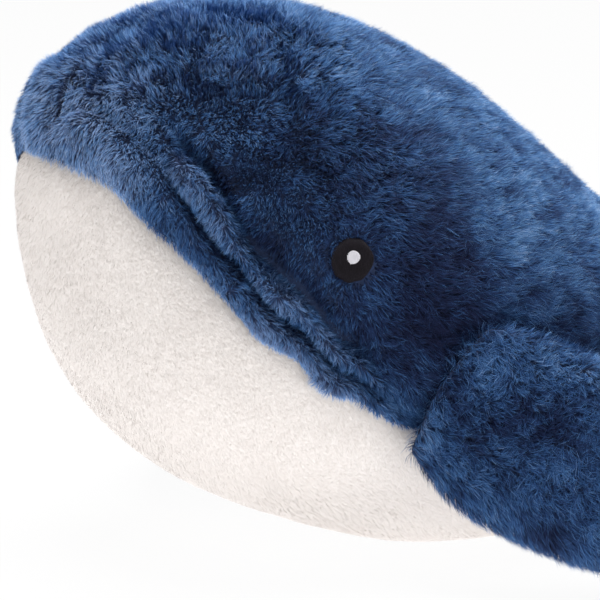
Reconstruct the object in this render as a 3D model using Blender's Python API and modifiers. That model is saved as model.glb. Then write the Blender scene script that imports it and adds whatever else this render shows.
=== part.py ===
# Plush whale: a stuffed toy lying on its belly, facing -Y, its left side at +X.
# Blue plush back panels, a white plush belly panel, two stuffed side fins and
# stuffed tail flukes, each hinged where it is sewn on, and embroidered eyes.

import math

import bmesh
import bpy
import numpy as np
from mathutils import Vector

COLLECTION_NAME = "plush_whale"
CUTTER_COLLECTION_NAME = "plush_whale_cutters"

# Body
BODY_LENGTH = 0.340
BODY_WIDTH = 0.166
HEAD_HEIGHT = 0.180
REST_CUT = 0.0005
SKIN_THICKNESS = 0.007
SKIN_THINNING_SHARE = 0.45
PIECE_GAP = 0.0004

# Each station: its place along the length, then the back line and the belly line
# as shares of the head's height, and the half width as a share of the body's width
BODY_SHARES = (
    (0.000, 0.735, 0.735, 0.000),
    (0.009, 0.850, 0.600, 0.155),
    (0.041, 0.915, 0.378, 0.268),
    (0.147, 0.990, 0.150, 0.434),
    (0.240, 0.995, 0.060, 0.482),
    (0.345, 0.920, 0.001, 0.500),
    (0.580, 0.592, 0.000, 0.450),
    (0.794, 0.400, 0.075, 0.300),
    (0.930, 0.345, 0.180, 0.175),
    (0.985, 0.300, 0.214, 0.112),
    (1.000, 0.257, 0.257, 0.000),
)
UPPER_ROUNDNESS_SHARE = 0.92
LOWER_ROUNDNESS_SHARE = 0.86

# Seam between the blue back and the white belly: its place along the length,
# and its angle down from the back line as a share of a half turn
SEAM_SHARES = (
    (0.000, 0.530),
    (0.020, 0.538),
    (0.045, 0.532),
    (0.070, 0.560),
    (0.100, 0.596),
    (0.160, 0.632),
    (0.235, 0.650),
    (0.450, 0.680),
    (0.700, 0.740),
    (0.900, 0.820),
    (1.000, 0.860),
)

# Lip: two soft rolls of plush above the mouth, gathered from the face
LIP_ROLL_HEIGHT = 0.0042
LIP_ROLL_WIDTH = 0.019
LIP_FOLD_HEIGHT = 0.0036
LIP_FOLD_WIDTH = 0.011
# Place along the length, and the rolls' width and height there
LIP_SHARES = (
    (0.00, 1.00, 0.25),
    (0.02, 1.06, 0.60),
    (0.05, 1.15, 1.00),
    (0.11, 1.00, 1.00),
    (0.17, 0.45, 1.00),
    (0.24, 0.30, 0.30),
    (0.28, 0.30, 0.00),
    (1.00, 0.30, 0.00),
)

# Eyes
EYE_SETBACK = 0.0590
EYE_TURN_DEG = 87.0
EYE_DIAMETER = 0.0150
EYE_THICKNESS = 0.0012
EYE_EDGE_BEVEL = 0.0004
EYE_HOLLOW_DIAMETER = 0.0200
EYE_HOLLOW_DEPTH = 0.0040
GLINT_DIAMETER = 0.0042
GLINT_THICKNESS = 0.0006
GLINT_RAISE = 0.0010
CUTTER_OVERRUN = 0.0120

# Side fins, measured outwards from the hinge line where each is sewn on
FIN_SETBACK = 0.0920
FIN_ROOT_TURN_DEG = 105.0
FIN_ROOT_SLOPE_DEG = 60.0
FIN_LIFT_DEG = 33.0
FIN_LENGTH = 0.1020
FIN_CHORD = 0.0620
FIN_THICKNESS = 0.0270
FIN_SWEEP = 0.0060
FIN_ROOT_RADIUS = 0.0028
FIN_SKIN_THICKNESS = 0.0042
# Place along the fin, half its chord there and half its thickness
FIN_SHARES = (
    (0.00, 0.330, 0.105),
    (0.06, 0.400, 0.150),
    (0.20, 0.470, 0.340),
    (0.42, 0.500, 0.500),
    (0.72, 0.420, 0.430),
    (0.92, 0.240, 0.250),
    (1.00, 0.000, 0.000),
)

# Tail flukes, measured back from the hinge line where they are sewn on
FLUKE_SPAN = 0.160
FLUKE_REACH = 0.078
FLUKE_THICKNESS = 0.0190
FLUKE_ROOT_RADIUS = 0.0030
FLUKE_SKIN_THICKNESS = 0.0036
# Place out along the half span, the front edge and the rear edge as shares of the
# reach, and half the thickness
FLUKE_SHARES = (
    (0.00, 0.000, 0.580, 0.420),
    (0.20, 0.020, 0.640, 0.500),
    (0.38, 0.150, 0.810, 0.480),
    (0.65, 0.420, 0.960, 0.400),
    (0.88, 0.700, 1.000, 0.270),
    (1.00, 0.930, 0.930, 0.000),
)

# How finely each form is laid out
BODY_RINGS = 24
FIN_RINGS = 12
FLUKE_RINGS = 20
LIMB_CORE_SIDES = 12
LIMB_SKIN_ROWS = 8
BELLY_ROWS = 12
BACK_ROW_SHARES = (0.0, 0.16, 0.32, 0.47, 0.60, 0.70, 0.78, 0.84, 0.89, 0.94, 1.0)
THREAD_SIDES = 40
BEVEL_SEGMENTS = 2
LENGTH_SEARCH_SIDES = 48
SHARP_EDGE_DEG = 40.0
NORMAL_STEP_SHARE = 0.002
WELD_DISTANCE = 0.000001

# Colours and finishes
PLUSH_BLUE = (0.046, 0.094, 0.194, 1.0)
PLUSH_WHITE = (0.800, 0.765, 0.735, 1.0)
FIBRE_WHITE = (0.860, 0.860, 0.850, 1.0)
THREAD_BLACK = (0.012, 0.012, 0.016, 1.0)
THREAD_WHITE = (0.840, 0.840, 0.840, 1.0)
PLUSH_ROUGHNESS = 0.85
FIBRE_ROUGHNESS = 0.90
THREAD_ROUGHNESS = 0.45
PLUSH_SHEEN = 0.35


def clear_scene():
    for thing in list(bpy.data.objects):
        bpy.data.objects.remove(thing, do_unlink=True)


def new_collection(name, hidden=False):
    group = bpy.data.collections.new(name)
    group.hide_render = hidden
    bpy.context.scene.collection.children.link(group)
    return group


def material(name, colour, roughness, sheen=0.0):
    made = bpy.data.materials.new(name)
    made.use_nodes = True
    shader = made.node_tree.nodes["Principled BSDF"]
    shader.inputs["Base Color"].default_value = colour
    shader.inputs["Roughness"].default_value = roughness
    shader.inputs["Metallic"].default_value = 0.0
    shader.inputs["Sheen Weight"].default_value = sheen
    return made


def smooth_curve(places, values, at):
    """A smooth curve through the values at the given places."""
    places = np.asarray(places, float)
    values = np.asarray(values, float)
    slopes = np.gradient(values, places)
    at = np.clip(np.asarray(at, float), places[0], places[-1])
    i = np.clip(np.searchsorted(places, at) - 1, 0, len(places) - 2)
    step = places[i + 1] - places[i]
    t = (at - places[i]) / step
    start = (1 + 2 * t) * (1 - t) ** 2 * values[i] + t * (1 - t) ** 2 * step * slopes[i]
    end = t**2 * (3 - 2 * t) * values[i + 1] + t**2 * (t - 1) * step * slopes[i + 1]
    return start + end


def turn_of(length_share):
    """Rings crowd towards both ends of a form, so that its ends are round."""
    return np.arccos(1 - 2 * np.clip(length_share, 0, 1)) / math.pi


def share_of(turn):
    return (1 - np.cos(math.pi * np.asarray(turn, float))) / 2


def power(values, exponent):
    return np.sign(values) * np.abs(values) ** exponent


def unit(vectors):
    return vectors / np.linalg.norm(vectors, axis=-1, keepdims=True)


def body_point(turn, angle):
    """A point of the body, its nose at y = 0. The angle runs from the back line down the left side."""
    table = np.array(BODY_SHARES)
    stations = turn_of(table[:, 0])
    top = HEAD_HEIGHT * smooth_curve(stations, table[:, 1], turn)
    bottom = HEAD_HEIGHT * smooth_curve(stations, table[:, 2], turn)
    half_width = BODY_WIDTH * np.maximum(smooth_curve(stations, table[:, 3], turn), 0)
    middle = (top + bottom) / 2
    over = np.cos(angle) > 0
    roundness = np.where(over, UPPER_ROUNDNESS_SHARE, LOWER_ROUNDNESS_SHARE)
    rise = (top - bottom) / 2 * power(np.cos(angle), roundness)
    across = half_width * power(np.sin(angle), roundness)
    along = BODY_LENGTH * share_of(turn) + 0 * angle
    return np.stack([across, along, middle + rise - REST_CUT], -1)


def seam_angle(turn):
    table = np.array(SEAM_SHARES)
    return math.pi * smooth_curve(turn_of(table[:, 0]), table[:, 1], turn)


def body_normal(turn, angle):
    """The outward direction of the body's surface, straight out at the two ends."""
    step = NORMAL_STEP_SHARE
    turn = np.asarray(turn, float) + 0 * angle
    near = np.clip(turn, 2 * step, 1 - 2 * step)
    along = body_point(near + step, angle) - body_point(near - step, angle)
    around = body_point(near, angle + step) - body_point(near, angle - step)
    normal = unit(np.cross(around, along))
    nose = (turn < step)[..., None]
    tail = (turn > 1 - step)[..., None]
    return np.where(nose, [0.0, -1.0, 0.0], np.where(tail, [0.0, 1.0, 0.0], normal))


def under_skin(turn, angle, gap=0.0):
    """Points on the underside of the body's skin, or a gap below it. The pile is shorter towards the tail."""
    depth = SKIN_THICKNESS * (1 - SKIN_THINNING_SHARE * share_of(turn)) + gap
    return body_point(turn, angle) - np.asarray(depth)[..., None] * body_normal(turn, angle)


def lip_height(turn, angle):
    """How far the two rolls of the lip stand up from the face."""
    share = share_of(turn)
    section = body_point(turn, 0 * angle)[..., 2] - body_point(turn, 0 * angle + math.pi)[..., 2]
    above = (seam_angle(turn) - angle) * section / 2
    table = np.array(LIP_SHARES)
    width = np.interp(share, table[:, 0], table[:, 1])
    strength = np.interp(share, table[:, 0], table[:, 2])
    roll = np.clip(above / (LIP_ROLL_WIDTH * width), 0, 1)
    fold = np.clip((above - LIP_ROLL_WIDTH * width) / (LIP_FOLD_WIDTH * width), 0, 1)
    bumps = LIP_ROLL_HEIGHT * np.sin(math.pi * roll) + LIP_FOLD_HEIGHT * np.sin(math.pi * fold)
    return strength * bumps


def closed_mesh(name, points, faces):
    """A mesh of one closed body, with coincident points welded and faces turned out."""
    mesh = bpy.data.meshes.new(name)
    mesh.from_pydata([tuple(p) for p in points], [], faces)
    work = bmesh.new()
    work.from_mesh(mesh)
    bmesh.ops.remove_doubles(work, verts=work.verts, dist=WELD_DISTANCE)
    bmesh.ops.recalc_face_normals(work, faces=work.faces)
    work.to_mesh(mesh)
    work.free()
    mesh.shade_smooth()
    mesh.set_sharp_from_angle(angle=math.radians(SHARP_EDGE_DEG))
    return mesh


def grid_faces(rows, columns, first, wrap=False):
    """Quads between rows of points. Wrapped rows run all the way round."""
    faces = []
    for row in range(rows - 1):
        for column in range(columns if wrap else columns - 1):
            after = (column + 1) % columns
            low = first + row * columns
            faces.append((low + column, low + after, low + columns + after, low + columns + column))
    return faces


def shell_mesh(name, outer, inner):
    """A skin between an outer and an inner surface, closed along its two long edges."""
    rows, columns = outer.shape[:2]
    count = rows * columns
    faces = grid_faces(rows, columns, 0) + grid_faces(rows, columns, count)
    for row in range(rows - 1):
        for column in (0, columns - 1):
            here = row * columns + column
            faces.append((here, here + columns, count + here + columns, count + here))
    points = np.concatenate([outer.reshape(-1, 3), inner.reshape(-1, 3)])
    return closed_mesh(name, points, faces)


def loft_mesh(name, surface):
    """A filled form through closed rings that shrink to a point at both ends."""
    rows, columns = surface.shape[:2]
    return closed_mesh(name, surface.reshape(-1, 3), grid_faces(rows, columns, 0, wrap=True))


def add_object(name, mesh, made_of, group, origin=(0, 0, 0)):
    """A named object whose mesh is given in the toy's frame, with its origin at the given place."""
    for vertex in mesh.vertices:
        vertex.co = [value - start for value, start in zip(vertex.co, origin)]
    thing = bpy.data.objects.new(name, mesh)
    thing.location = origin
    mesh.materials.clear()
    mesh.materials.append(made_of)
    group.objects.link(thing)
    return thing


def ring_turns(count):
    return np.linspace(0, 1, count)[:, None]


def overall_length():
    """From the tip of the nose to the hindmost point of the flukes."""
    angle = np.linspace(0, 2 * math.pi, LENGTH_SEARCH_SIDES, endpoint=False)[None, :]
    surface = fluke_surface(angle, 0)
    return float(surface[..., 1].max())


def settle(points):
    """Moves points from the nose to the toy's own frame, and flattens what would lie under its belly."""
    moved = points - np.array([0, overall_length() / 2, 0])
    moved[..., 2] = np.maximum(moved[..., 2], 0)
    return moved


def back_angles(turn):
    """Rows of the back panel, from the back line to the seam, close together at the lip."""
    return seam_angle(turn) * np.array(BACK_ROW_SHARES)[None, :]


def belly_angles(turn):
    """Rows of the belly panel, from the left seam round underneath to the right one."""
    seam = seam_angle(turn)
    return seam + 2 * (math.pi - seam) * np.linspace(0, 1, BELLY_ROWS)[None, :]


def back_panel(name, side, made_of, group):
    """One side of the blue back: from the back line down to the mouth and belly seam."""
    turn = ring_turns(BODY_RINGS)
    angle = back_angles(turn)
    outer = body_point(turn, angle)
    outer = outer + lip_height(turn, angle)[..., None] * body_normal(turn, angle)
    inner = under_skin(turn, angle)
    shift = np.array([PIECE_GAP / 2, 0, 0])
    mirror = np.array([side, 1, 1])
    mesh = shell_mesh(name, settle(outer + shift) * mirror, settle(inner + shift) * mirror)
    return add_object(name, mesh, made_of, group)


def belly_panel(made_of, group):
    """The white belly, from seam to seam underneath."""
    turn = ring_turns(BODY_RINGS)
    angle = belly_angles(turn)
    drop = np.array([0, 0, PIECE_GAP])
    outer = settle(body_point(turn, angle) - drop)
    inner = settle(under_skin(turn, angle) - drop)
    return add_object("belly_panel", shell_mesh("belly_panel", outer, inner), made_of, group)


def body_stuffing(made_of, group):
    """The fibre filling, laid out on the same rows as the panels round it."""
    turn = ring_turns(BODY_RINGS)
    left = back_angles(turn)
    angle = np.concatenate([left, belly_angles(turn)[:, 1:-1], 2 * math.pi - left[:, :0:-1]], axis=1)
    surface = under_skin(turn, angle, PIECE_GAP)
    return add_object("body_stuffing", loft_mesh("body_stuffing", settle(surface)), made_of, group)


def fin_axes():
    """The left fin's hinge place, and the directions along the fin, along its hinge and through it."""
    turn = turn_of(FIN_SETBACK / BODY_LENGTH)
    angle = math.radians(FIN_ROOT_TURN_DEG)
    outward = body_normal(turn, np.float64(angle))
    back = unit(np.cross(outward, [0.0, 0.0, 1.0]))
    back = back * np.sign(back[1])
    up = unit(np.cross(back, outward))
    up = up * np.sign(up[2])
    slope = math.radians(FIN_ROOT_SLOPE_DEG)
    lift = math.radians(FIN_LIFT_DEG)
    hinge = math.cos(slope) * back + math.sin(slope) * up
    lying = math.sin(slope) * back - math.cos(slope) * up
    along = math.cos(lift) * lying + math.sin(lift) * outward
    through = np.cross(hinge, along)
    through = through * np.sign(through @ outward)
    place = body_point(turn, np.float64(angle)) + (FIN_ROOT_RADIUS + PIECE_GAP) * outward
    return place, along, hinge, through


def fin_form(turn, angle):
    """A point of the left fin, measured along the fin, along its hinge and through it."""
    table = np.array(FIN_SHARES)
    stations = turn_of(table[:, 0])
    chord = FIN_CHORD * np.maximum(smooth_curve(stations, table[:, 1], turn), 0)
    thick = FIN_THICKNESS * np.maximum(smooth_curve(stations, table[:, 2], turn), 0)
    out = (FIN_LENGTH + FIN_ROOT_RADIUS) * share_of(turn) - FIN_ROOT_RADIUS
    root = np.sqrt(np.clip((out + FIN_ROOT_RADIUS) / FIN_ROOT_RADIUS, 0, 1))
    chord = chord * root
    thick = thick * root
    sweep = FIN_SWEEP * share_of(turn) ** 2
    return np.stack([out + 0 * angle, sweep + chord * np.cos(angle), thick * np.sin(angle)], -1)


def fin_points(points):
    """Turns points of the fin's own directions into places beside the body."""
    place, along, hinge, through = fin_axes()
    return place + points @ np.stack([along, hinge, through])


def fin_pieces(side, side_name, blue, fibre, group):
    """The outer and inner skins of a fin and its stuffing, turning about the seam at its root."""
    mirror = np.array([side, 1, 1])
    origin = settle(fin_axes()[0]) * mirror
    turn = ring_turns(FIN_RINGS)
    for part_name, first, shift in (("outer_skin", 0.0, 1), ("inner_skin", math.pi, -1)):
        angle = first + np.linspace(0, math.pi, LIMB_SKIN_ROWS)[None, :]
        apart = np.array([0, 0, shift * PIECE_GAP / 2])
        outer = fin_points(fin_form(turn, angle) + apart)
        inner = fin_points(fin_inside(turn, angle, FIN_SKIN_THICKNESS) + apart)
        name = f"{side_name}_fin_{part_name}"
        mesh = shell_mesh(name, settle(outer) * mirror, settle(inner) * mirror)
        add_object(name, mesh, blue, group, origin)
    angle = np.linspace(0, 2 * math.pi, LIMB_CORE_SIDES, endpoint=False)[None, :]
    core = fin_points(fin_inside(turn, angle, FIN_SKIN_THICKNESS + PIECE_GAP))
    name = f"{side_name}_fin_stuffing"
    add_object(name, loft_mesh(name, settle(core) * mirror), fibre, group, origin)


def shrink(half, depth):
    """A half width brought in by a depth, which never closes up altogether."""
    return half * half / (half + depth)


def fin_inside(turn, angle, depth):
    """The fin's form brought in by a depth on every side."""
    outer = fin_form(turn, angle)
    middle = fin_form(turn, angle)
    middle[..., 1] = FIN_SWEEP * share_of(turn) ** 2
    middle[..., 2] = 0
    reach = outer - middle
    chord = np.abs(fin_form(turn, 0 * angle)[..., 1] - middle[..., 1])
    thick = np.abs(fin_form(turn, 0 * angle + math.pi / 2)[..., 2])
    reach[..., 1] = reach[..., 1] * shrink(chord, depth) / np.maximum(chord, WELD_DISTANCE)
    reach[..., 2] = reach[..., 2] * shrink(thick, depth) / np.maximum(thick, WELD_DISTANCE)
    inside = middle + reach
    low = depth - FIN_ROOT_RADIUS
    high = FIN_LENGTH - depth
    inside[..., 0] = low + (high - low) * share_of(turn) + 0 * angle
    return inside


def fluke_surface(angle, depth):
    """Rings of the flukes from the left tip to the right tip, brought in by a depth."""
    table = np.array(FLUKE_SHARES)
    half_span = FLUKE_SPAN / 2
    turn = ring_turns(FLUKE_RINGS)
    out = np.abs(2 * share_of(turn) - 1)
    front = FLUKE_REACH * smooth_curve(table[:, 0], table[:, 1], out)
    rear = FLUKE_REACH * smooth_curve(table[:, 0], table[:, 2], out)
    thick = FLUKE_THICKNESS * np.maximum(smooth_curve(table[:, 0], table[:, 3], out), 0)
    half_chord = np.maximum(rear - front, 0) / 2
    middle = (rear + front) / 2
    if depth > 0:
        half_chord = shrink(half_chord, depth)
        thick = shrink(thick, depth)
    across = (half_span - depth) * (2 * share_of(turn) - 1)
    hinge = BODY_LENGTH + PIECE_GAP
    along = hinge + middle - half_chord * np.cos(angle)
    rise = tail_height() + thick * np.sin(angle)
    return np.stack([across + 0 * angle, along, rise], -1)


def tail_height():
    return HEAD_HEIGHT * BODY_SHARES[-1][1] - REST_CUT


def fluke_hinge():
    return np.array([0, BODY_LENGTH + PIECE_GAP + FLUKE_ROOT_RADIUS, tail_height()])


def fluke_pieces(blue, fibre, group):
    """The upper and lower skins of the flukes and their stuffing, turning about the seam at the tail."""
    origin = settle(fluke_hinge())
    for name, first, shift in (("flukes_upper_skin", 0.0, 1), ("flukes_lower_skin", math.pi, -1)):
        angle = first + np.linspace(0, math.pi, LIMB_SKIN_ROWS)[None, :]
        apart = np.array([0, 0, shift * PIECE_GAP / 2])
        outer = fluke_surface(angle, 0) + apart
        inner = fluke_surface(angle, FLUKE_SKIN_THICKNESS) + apart
        add_object(name, shell_mesh(name, settle(outer), settle(inner)), blue, group, origin)
    angle = np.linspace(0, 2 * math.pi, LIMB_CORE_SIDES, endpoint=False)[None, :]
    core = fluke_surface(angle, FLUKE_SKIN_THICKNESS + PIECE_GAP)
    name = "flukes_stuffing"
    add_object(name, loft_mesh(name, settle(core)), fibre, group, origin)


def disc(name, diameter, thickness, base, direction, made_of, group):
    """A round patch of satin stitch that rises from its base along a direction."""
    bpy.ops.mesh.primitive_cylinder_add(
        vertices=THREAD_SIDES, radius=diameter / 2, depth=thickness, location=(0, 0, 0)
    )
    patch = bpy.context.object
    for other in patch.users_collection:
        other.objects.unlink(patch)
    group.objects.link(patch)
    patch.name = name
    patch.data.name = name
    patch.rotation_mode = "QUATERNION"
    patch.rotation_quaternion = direction.to_track_quat("Z", "Y")
    patch.location = base + direction * (thickness / 2)
    patch.data.materials.append(made_of)
    return patch


def soften_edge(patch, width):
    bevel = patch.modifiers.new("rounded_edge", "BEVEL")
    bevel.width = width
    bevel.segments = BEVEL_SEGMENTS
    bevel.limit_method = "ANGLE"


def eye(side, side_name, panel, threads, group, cutters):
    """An embroidered eye in a hollow of the plush, with a small white glint."""
    turn = turn_of(EYE_SETBACK / BODY_LENGTH)
    angle = np.float64(math.radians(EYE_TURN_DEG))
    mirror = np.array([side, 1, 1])
    place = as_vector(settle(body_point(turn, angle)) * mirror)
    outward = as_vector(body_normal(turn, angle) * mirror)
    floor = place - outward * EYE_HOLLOW_DEPTH
    cutter = disc(
        f"{side_name}_eye_hollow_cutter",
        EYE_HOLLOW_DIAMETER,
        EYE_HOLLOW_DEPTH + CUTTER_OVERRUN,
        floor,
        outward,
        threads[0],
        cutters,
    )
    cutter.hide_render = True
    cutter.display_type = "WIRE"
    hollow = panel.modifiers.new("eye_hollow", "BOOLEAN")
    hollow.operation = "DIFFERENCE"
    hollow.object = cutter
    black = floor + outward * PIECE_GAP
    name = f"{side_name}_eye_embroidery"
    soften_edge(disc(name, EYE_DIAMETER, EYE_THICKNESS, black, outward, threads[0], group), EYE_EDGE_BEVEL)
    white = black + outward * (EYE_THICKNESS + PIECE_GAP)
    white.z += GLINT_RAISE
    disc(f"{side_name}_eye_glint", GLINT_DIAMETER, GLINT_THICKNESS, white, outward, threads[1], group)


def as_vector(values):
    return Vector([float(value) for value in values])


def build():
    clear_scene()
    group = new_collection(COLLECTION_NAME)
    cutters = new_collection(CUTTER_COLLECTION_NAME, hidden=True)
    blue = material("blue_plush", PLUSH_BLUE, PLUSH_ROUGHNESS, PLUSH_SHEEN)
    white = material("white_plush", PLUSH_WHITE, PLUSH_ROUGHNESS, PLUSH_SHEEN)
    fibre = material("polyester_fibre", FIBRE_WHITE, FIBRE_ROUGHNESS)
    threads = (
        material("black_thread", THREAD_BLACK, THREAD_ROUGHNESS),
        material("white_thread", THREAD_WHITE, THREAD_ROUGHNESS),
    )
    for side, side_name in ((1, "left"), (-1, "right")):
        panel = back_panel(f"{side_name}_back_panel", side, blue, group)
        eye(side, side_name, panel, threads, group, cutters)
        fin_pieces(side, side_name, blue, fibre, group)
    belly_panel(white, group)
    body_stuffing(fibre, group)
    fluke_pieces(blue, fibre, group)


build()
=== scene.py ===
# Plush whale, dressed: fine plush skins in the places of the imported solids, a pile of
# separate fibres on them, embroidered eyes, a pale studio and the photograph's camera.
import itertools
import math
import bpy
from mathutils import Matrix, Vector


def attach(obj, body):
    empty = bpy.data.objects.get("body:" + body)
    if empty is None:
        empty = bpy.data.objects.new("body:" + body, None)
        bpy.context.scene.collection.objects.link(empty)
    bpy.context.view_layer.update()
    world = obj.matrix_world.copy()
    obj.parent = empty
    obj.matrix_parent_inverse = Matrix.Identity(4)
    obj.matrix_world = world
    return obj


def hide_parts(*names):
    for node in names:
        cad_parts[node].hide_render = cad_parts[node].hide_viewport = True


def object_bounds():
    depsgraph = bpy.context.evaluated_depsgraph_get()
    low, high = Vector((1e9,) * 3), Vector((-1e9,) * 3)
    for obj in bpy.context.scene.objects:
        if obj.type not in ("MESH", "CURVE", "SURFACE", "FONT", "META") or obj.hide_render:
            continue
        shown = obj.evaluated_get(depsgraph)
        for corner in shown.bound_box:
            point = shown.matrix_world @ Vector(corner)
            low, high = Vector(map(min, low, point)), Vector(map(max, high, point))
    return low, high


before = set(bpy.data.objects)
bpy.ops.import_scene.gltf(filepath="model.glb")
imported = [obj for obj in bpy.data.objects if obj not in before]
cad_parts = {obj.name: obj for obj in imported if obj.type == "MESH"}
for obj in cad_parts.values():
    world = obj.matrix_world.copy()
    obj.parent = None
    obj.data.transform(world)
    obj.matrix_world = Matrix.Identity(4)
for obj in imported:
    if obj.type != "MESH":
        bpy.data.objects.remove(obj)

from types import SimpleNamespace

import bpy
import numpy as np
from mathutils import Vector

CAD_LOW, CAD_HIGH = [list(corner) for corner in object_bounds()]
MM = 0.001
SIDES = ((1, "left"), (-1, "right"))
# The UV map that holds each fibre's tone and its way from root to tip
PILE_UV = "OFBake"
PILE_FIELDS = ("points", "normals", "lay", "lift", "length", "ruffle", "tone", "frost")

# The body's form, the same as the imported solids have
BODY_LENGTH = 0.340
BODY_WIDTH = 0.166
HEAD_HEIGHT = 0.180
REST_CUT = 0.0005
SKIN_THICKNESS = 0.007
SKIN_THINNING = 0.45
PIECE_GAP = 0.0004
# Place along the length, back line, belly line and half width
BODY_STATIONS = (
    (0.000, 0.735, 0.735, 0.000),
    (0.009, 0.850, 0.600, 0.155),
    (0.041, 0.915, 0.378, 0.268),
    (0.147, 0.990, 0.150, 0.434),
    (0.240, 0.995, 0.060, 0.482),
    (0.345, 0.920, 0.001, 0.500),
    (0.580, 0.592, 0.000, 0.450),
    (0.794, 0.400, 0.075, 0.300),
    (0.930, 0.345, 0.180, 0.175),
    (0.985, 0.300, 0.214, 0.112),
    (1.000, 0.257, 0.257, 0.000),
)
UPPER_ROUNDNESS = 0.92
LOWER_ROUNDNESS = 0.86
# Place along the length, and the seam's angle down from the back line in half turns
SEAM_STATIONS = (
    (0.000, 0.530), (0.020, 0.538), (0.045, 0.532), (0.070, 0.560), (0.100, 0.596), (0.160, 0.632),
    (0.235, 0.650), (0.450, 0.680), (0.700, 0.740), (0.900, 0.820), (1.000, 0.860),
)

# The sewn seam isn't quite even: place along the length, and how far up it runs, in mm
SEAM_WAVES = (
    (0.000, 0.0), (0.020, 0.4), (0.034, 1.6), (0.058, 1.6), (0.080, 0.3),
    (0.098, 0.0), (0.112, 1.3), (0.132, 3.2), (0.150, 0.3), (0.163, 0.0),
    (0.180, 2.0), (0.200, 0.7), (0.225, -1.0), (0.260, 0.0), (1.000, 0.0),
)
# How far the blue fringe hangs over the white below the seam, in mm
FRINGE_STATIONS = (
    (0.000, 6.5), (0.008, 6.5), (0.018, 4.4), (0.030, 3.4), (0.042, 2.6),
    (0.060, 1.0), (0.078, 1.8), (0.095, 2.3), (0.112, 1.0), (0.132, 1.2),
    (0.157, 2.0), (0.180, 1.3), (0.205, 1.3), (0.240, 1.8), (1.000, 1.8),
)
# A fibre of the fringe reaches down by this share of its length, and has at least this many mm
FRINGE_REACH = 0.84
FRINGE_SHORTEST = 1.9
# Mm by which the fringe is ragged, and by which it is shorter on the far side of the nose
FRINGE_RAGGED = 1.1
FAR_FRINGE_CUT = 3.0

# Lip: place along the length, then millimetres above the seam of the crease between
# its two rolls and of the upper roll's edge, and how strong each roll is there
LIP_STATIONS = (
    (0.000, 25.0, 34.0, 0.55, 0.00),
    (0.020, 24.0, 34.0, 0.65, 0.00),
    (0.034, 22.0, 31.0, 0.80, 0.00),
    (0.041, 17.5, 28.0, 0.90, 0.00),
    (0.046, 16.0, 30.0, 0.95, 0.60),
    (0.052, 14.6, 31.0, 1.00, 1.00),
    (0.058, 13.3, 31.5, 1.00, 1.00),
    (0.068, 12.6, 29.0, 1.00, 1.00),
    (0.076, 12.6, 24.5, 1.00, 1.00),
    (0.085, 12.8, 21.0, 1.00, 1.00),
    (0.094, 12.4, 20.0, 1.00, 1.00),
    (0.106, 10.2, 19.2, 1.00, 1.00),
    (0.115, 9.0, 18.0, 1.00, 1.00),
    (0.137, 8.2, 15.8, 1.00, 1.00),
    (0.155, 7.6, 14.2, 0.95, 0.95),
    (0.166, 7.0, 13.0, 0.90, 0.90),
    (0.187, 5.8, 11.5, 0.80, 0.60),
    (0.205, 5.0, 10.0, 0.70, 0.20),
    (0.230, 4.0, 8.0, 0.50, 0.00),
    (0.270, 3.0, 8.0, 0.00, 0.00),
    (1.000, 3.0, 8.0, 0.00, 0.00),
)
LOWER_ROLL_RISE = 6.0 * MM
UPPER_ROLL_RISE = 7.5 * MM
CREASE_DEPTH = 7.0 * MM
CREASE_HALF_WIDTH = 1.9
VALLEY_DEPTH = 6.0 * MM
VALLEY_OFFSET = 4.0
VALLEY_HALF_WIDTH = 6.0
# The far side's lip lies flatter at the front, and its seam runs a little higher there
FAR_LIP_STATIONS = (
    (0.000, 1.00), (0.002, 0.75), (0.009, 0.12), (0.070, 0.12), (0.150, 0.80), (1.000, 0.80),
)
FAR_SEAM_RAISE = 0.072
FAR_SEAM_RAISE_AT = 0.020
FAR_SEAM_RAISE_SPAN = 0.035
# Stuffing stands the far cheek out a little: place along the length, mm above the seam
FAR_CHEEK_AT = (0.026, 35.0)
FAR_CHEEK_SPAN = (0.025, 24.0)
FAR_CHEEK_RISE = 3.2 * MM

# Eye
EYE_SETBACK = 0.0590
EYE_TURN_DEG = 87.0
EYE_RADIUS = 0.0067
EYE_RISE = 0.0016
EYE_FLOOR_DEPTH = 0.0040
EYE_SOCKET_RADIUS = 0.013
EYE_SOCKET_DEPTH = 0.0014
GLINT_RADIUS = 0.0020
GLINT_RAISE = 0.0010

# The face's zone of painted shade, where the face lies low from the brow past the eye to the fin, in the
# nose's frame. The pile there is painted darker and its fibres are a little shorter.
SHADED_FACE_PATH_MM = ((60, 38, 132), (66, 40, 118), (71, 50, 103), (76, 64, 89), (79, 80, 78))
SHADED_FACE_CORE = 7.0 * MM
SHADED_FACE_FALLOFF = 17.0 * MM
# The flank behind the eye and over the fin, where the pile is painted a little darker as shade
SHADED_FLANK_PATH_MM = (
    (64, 58, 145), (75, 76, 125), (80, 86, 104), (81, 92, 86), (82, 105, 77), (82, 146, 65),
)
SHADED_FLANK_CORE = 7.0 * MM
SHADED_FLANK_FALLOFF = 14.0 * MM

# Side fins
FIN_SETBACK = 0.0920
FIN_ROOT_TURN_DEG = 105.0
FIN_ROOT_SLOPE_DEG = 60.0
FIN_LIFT_DEG = 33.0
FIN_LENGTH = 0.1020
FIN_CHORD = 0.0620
FIN_THICKNESS = 0.0270
FIN_SWEEP = 0.0060
FIN_ROOT_RADIUS = 0.0028
# The plush stands fuller round the fin's root and along its leading edge
FIN_ROOT_FULLNESS = 0.0040
FIN_FRONT_FULLNESS = 0.0028
# The fin's rims set in between these shares of its half chord
FIN_EDGE = (0.2, 0.9)
# Place along the fin, half chord and half thickness
FIN_STATIONS = (
    (0.00, 0.330, 0.105),
    (0.06, 0.400, 0.150),
    (0.20, 0.470, 0.340),
    (0.42, 0.500, 0.500),
    (0.72, 0.420, 0.430),
    (0.92, 0.240, 0.250),
    (1.00, 0.000, 0.000),
)

# Tail flukes
FLUKE_SPAN = 0.160
FLUKE_REACH = 0.078
FLUKE_THICKNESS = 0.0190
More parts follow.
